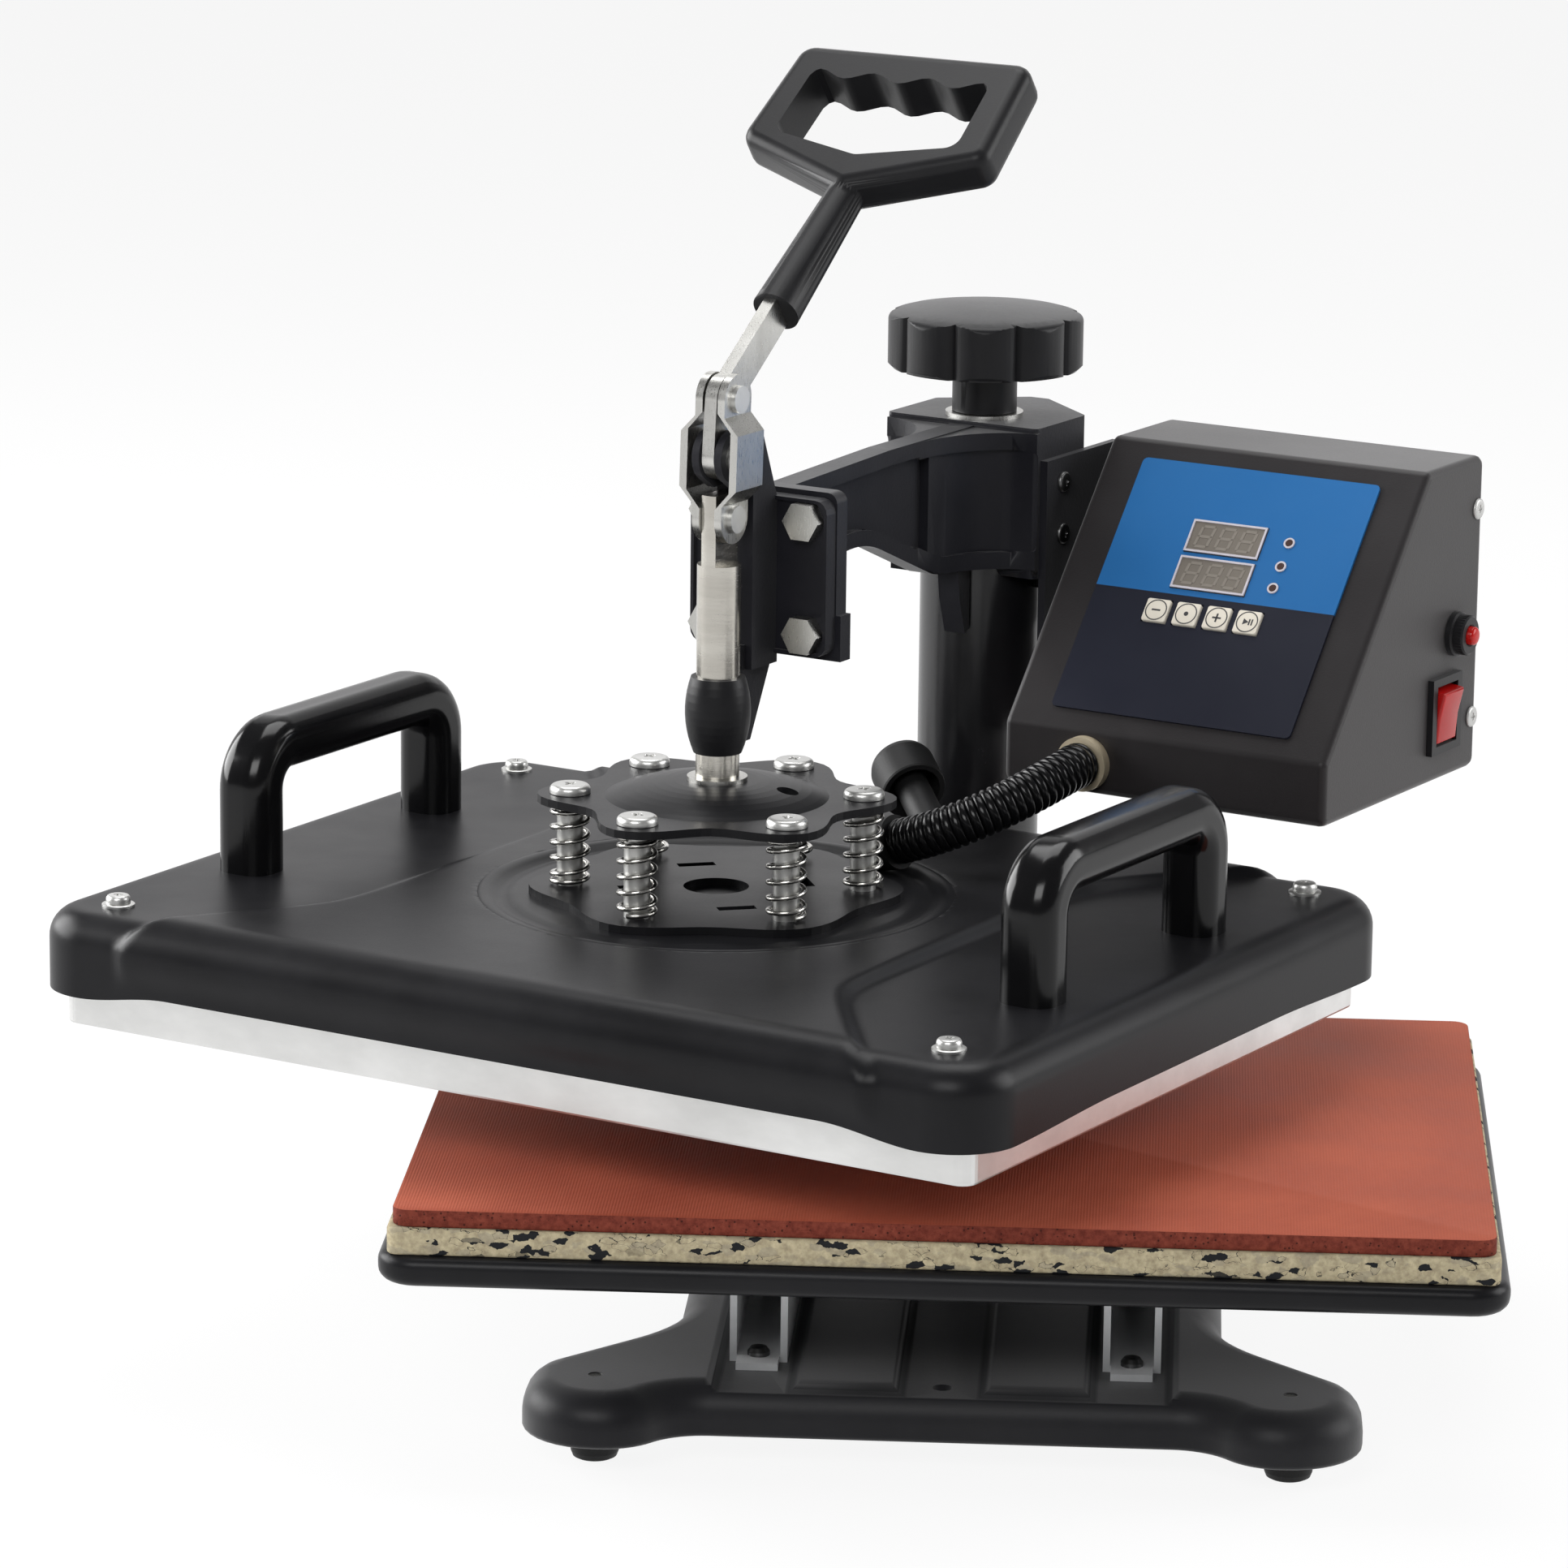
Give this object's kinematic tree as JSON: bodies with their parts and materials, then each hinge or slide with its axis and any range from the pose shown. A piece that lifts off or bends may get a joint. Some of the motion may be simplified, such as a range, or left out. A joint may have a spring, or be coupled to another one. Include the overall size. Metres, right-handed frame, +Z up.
{
  "type": "swing-away heat press",
  "caption": "Bench heat press: a lever toggle presses a sprung heated platen, hung from a swing arm with a control box, onto a padded bed.",
  "frame": {"origin": "middle of the outline on the floor, under the feet", "axes": "+X to the right, +Y to the back where the column stands, +Z up"},
  "size_m": [0.5251, 0.4478, 0.4621],
  "materials": {
    "black_coat": "semi-gloss powder coat",
    "black_plastic": "satin",
    "black_alloy": "semi-gloss powder coat on cast alloy",
    "rubber": "matt",
    "alloy": "brushed",
    "zinc_steel": "zinc plated",
    "dark_steel": "dark",
    "bright_screws": "nickel plated",
    "spring_steel": "bright",
    "silicone": "matt silicone",
    "foam": "flecked foam",
    "blanket": "fibre blanket",
    "element": "heat tinted",
    "panel": "printed film",
    "display": "smoked window",
    "led": "clear lens",
    "board": "circuit board",
    "key": "soft key",
    "red": "red gloss",
    "brass": "satin"
  },
  "bodies": {
    "base": {"base_frame": "black_coat", "rubber_feet": "rubber", "foot_screws": "zinc_steel", "bed_rails": "alloy", "rail_screws": "dark_steel", "bed_tray": "black_coat", "tray_studs": "zinc_steel", "foam_pad": "foam", "silicone_pad": "silicone", "column": "black_coat", "column_bolts": "zinc_steel", "column_nut": "zinc_steel", "stop_collar": "black_coat"},
    "lift": {"thrust_collar": "zinc_steel"},
    "knob_screw": {"knob": "black_plastic", "lift_screw": "zinc_steel"},
    "arm": {"swing_arm": "black_alloy", "head_washer": "zinc_steel", "toggle_body": "black_coat", "plunger_guide": "black_plastic", "toggle_bolts": "zinc_steel", "pivot_pin": "zinc_steel", "control_box_shell": "black_coat", "control_box_back": "black_coat", "panel_overlay": "panel", "display_windows": "display", "indicator_leds": "led", "control_board": "board", "rocker_bezel": "black_plastic", "breaker_body": "black_plastic", "box_screws": "bright_screws", "box_bracket": "black_coat", "hose_grommet": "brass", "lead_hose": "rubber", "power_inlet": "black_plastic"},
    "lever": {"lever_bar": "zinc_steel", "lever_grip": "black_plastic"},
    "link_pair": {"links": "zinc_steel", "link_rivets": "zinc_steel"},
    "plunger": {"plunger_rod": "zinc_steel", "plunger_washer": "zinc_steel", "plunger_nut": "zinc_steel", "spring_plate_upper": "black_coat"},
    "platen": {"spring_plate_lower": "black_coat", "spring_bolts": "bright_screws", "springs": "spring_steel", "platen_cover": "black_coat", "heat_platen": "alloy", "heating_element": "element", "insulation_blanket": "blanket", "cover_screws": "bright_screws", "platen_handles": "black_plastic", "handle_bolts": "zinc_steel", "lead_boot": "rubber"},
    "minus_key": {"key_minus": "key"},
    "mode_key": {"key_mode": "key"},
    "plus_key": {"key_plus": "key"},
    "start_key": {"key_start": "key"},
    "rocker": {"power_rocker": "red"},
    "reset": {"reset_button": "red"}
  },
  "joints": [
    {"name": "knob_turn", "type": "hinge", "parent": "lift", "child": "knob_screw", "pos_m": [0.06706, 0.16393, 0.31934], "axis": [0, 0, 1], "range_deg": [0, 720.5]},
    {"name": "height_adjust", "type": "slide", "parent": "base", "child": "lift", "axis": [0, 0, 1], "range_m": [0, 0.008]},
    {"name": "arm_swing", "type": "hinge", "parent": "lift", "child": "arm", "pos_m": [0.06706, 0.16393, 0.31934], "axis": [0, 0, 1], "range_deg": [-90, 28.2]},
    {"name": "plunger_slide", "type": "slide", "parent": "arm", "child": "plunger", "axis": [0, 0, -1], "range_m": [0, 0.0277], "deforming": ["lead_hose"]},
    {"name": "lever_swing", "type": "hinge", "parent": "arm", "child": "lever", "pos_m": [-0.02273, -0.00352, 0.33234], "axis": [0.8813, -0.4726, 0], "range_deg": [0, 125.61]},
    {"name": "link_swing", "type": "hinge", "parent": "lever", "child": "link_pair", "pos_m": [-0.02186, -0.0019, 0.35326], "axis": [0.8813, -0.4726, 0], "range_deg": [-98.64, 0]},
    {"name": "platen_float", "type": "slide", "parent": "plunger", "child": "platen", "axis": [0, 0, 1], "range_m": [0, 0.006], "stiffness_N_per_m": 30000, "springref_m": -0.004, "deforming": ["springs"]},
    {"name": "key_minus_press", "type": "slide", "parent": "arm", "child": "minus_key", "axis": [0.3649, 0.6805, -0.6354], "range_m": [0, 0.0008], "stiffness_N_per_m": 600, "springref_m": -0.001},
    {"name": "key_mode_press", "type": "slide", "parent": "arm", "child": "mode_key", "axis": [0.3649, 0.6805, -0.6354], "range_m": [0, 0.0008], "stiffness_N_per_m": 600, "springref_m": -0.001},
    {"name": "key_plus_press", "type": "slide", "parent": "arm", "child": "plus_key", "axis": [0.3649, 0.6805, -0.6354], "range_m": [0, 0.0008], "stiffness_N_per_m": 600, "springref_m": -0.001},
    {"name": "key_start_press", "type": "slide", "parent": "arm", "child": "start_key", "axis": [0.3649, 0.6805, -0.6354], "range_m": [0, 0.0008], "stiffness_N_per_m": 600, "springref_m": -0.001},
    {"name": "rocker_tip", "type": "hinge", "parent": "arm", "child": "rocker", "pos_m": [0.2411, 0.10125, 0.22084], "axis": [-0.4726, -0.8813, 0], "range_deg": [0, 18]},
    {"name": "reset_press", "type": "slide", "parent": "arm", "child": "reset", "axis": [-0.8813, 0.4726, 0], "range_m": [0, 0.0025], "stiffness_N_per_m": 800, "springref_m": -0.002}
  ],
  "couplings": [
    {"joint": "knob_turn", "follows": "height_adjust", "rad_per_m": 1570.8},
    {"joint": "lever_swing", "follows": "plunger_slide", "rad_per_m": 79.115},
    {"joint": "link_swing", "follows": "plunger_slide", "rad_per_m": -62.118}
  ]
}
